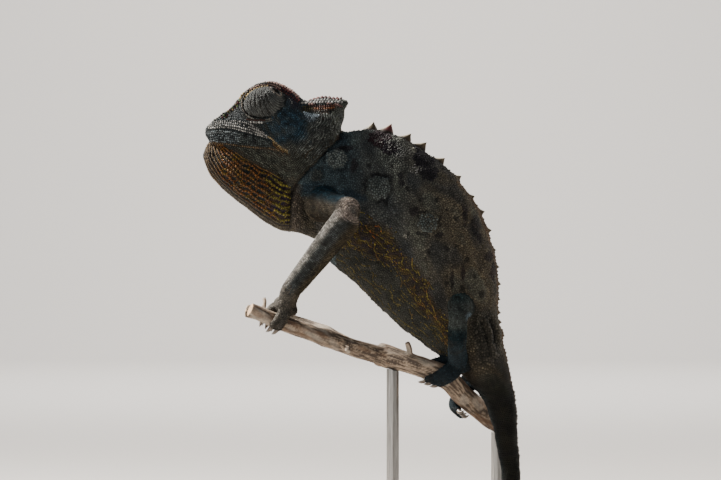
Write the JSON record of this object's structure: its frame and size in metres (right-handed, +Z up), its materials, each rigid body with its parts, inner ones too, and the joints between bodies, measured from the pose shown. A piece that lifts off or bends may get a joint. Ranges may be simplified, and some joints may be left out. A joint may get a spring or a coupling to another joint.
{
  "type": "namaqua chameleon display model",
  "caption": "Life-size still model of a Namaqua chameleon, reared up and gripping a forked branch that two rods hold over a flat base.",
  "frame": {"origin": "centre of the flat underside of the base", "axes": "+Z up; the head faces -X and the tail hangs at +X; the animal's left side is towards -Y"},
  "size_m": [0.126, 0.084, 0.1687],
  "materials": {
    "skin": "matte granular reptile skin, charcoal grey-brown with dark blotches",
    "throat_skin": "matte scales in rows, orange and yellow between dark granules",
    "limb_skin": "matte granular reptile skin, paler on top",
    "eyelid": "fine grey granules in ring folds",
    "eye": "polished, wet look",
    "branch": "dry grey-brown bark",
    "rod": "satin",
    "base": "dark stained hardwood, satin"
  },
  "bodies": {
    "root": {"casque": "skin", "eye_left": "eye", "eye_right": "eye", "eyelid_left": "eyelid", "eyelid_right": "eyelid", "fingers_inner_left": "limb_skin", "fingers_inner_right": "limb_skin", "fingers_outer_left": "limb_skin", "fingers_outer_right": "limb_skin", "foot_left": "limb_skin", "foot_right": "limb_skin", "forearm_left": "limb_skin", "forearm_right": "limb_skin", "hand_left": "limb_skin", "hand_right": "limb_skin", "head": "skin", "jaw": "skin", "neck": "skin", "perch_prong_left": "branch", "perch_prong_right": "branch", "perch_stem": "branch", "shin_left": "limb_skin", "shin_right": "limb_skin", "stand_base": "base", "stand_rod_front": "rod", "stand_rod_rear": "rod", "tail_1": "skin", "tail_2": "skin", "tail_3": "skin", "tail_4": "skin", "thigh_left": "limb_skin", "thigh_right": "limb_skin", "throat": "throat_skin", "toes_inner_left": "limb_skin", "toes_inner_right": "limb_skin", "toes_outer_left": "limb_skin", "toes_outer_right": "limb_skin", "trunk_front": "skin", "trunk_middle": "skin", "trunk_rear": "skin", "upper_arm_left": "limb_skin", "upper_arm_right": "limb_skin"}
  },
  "joints": []
}
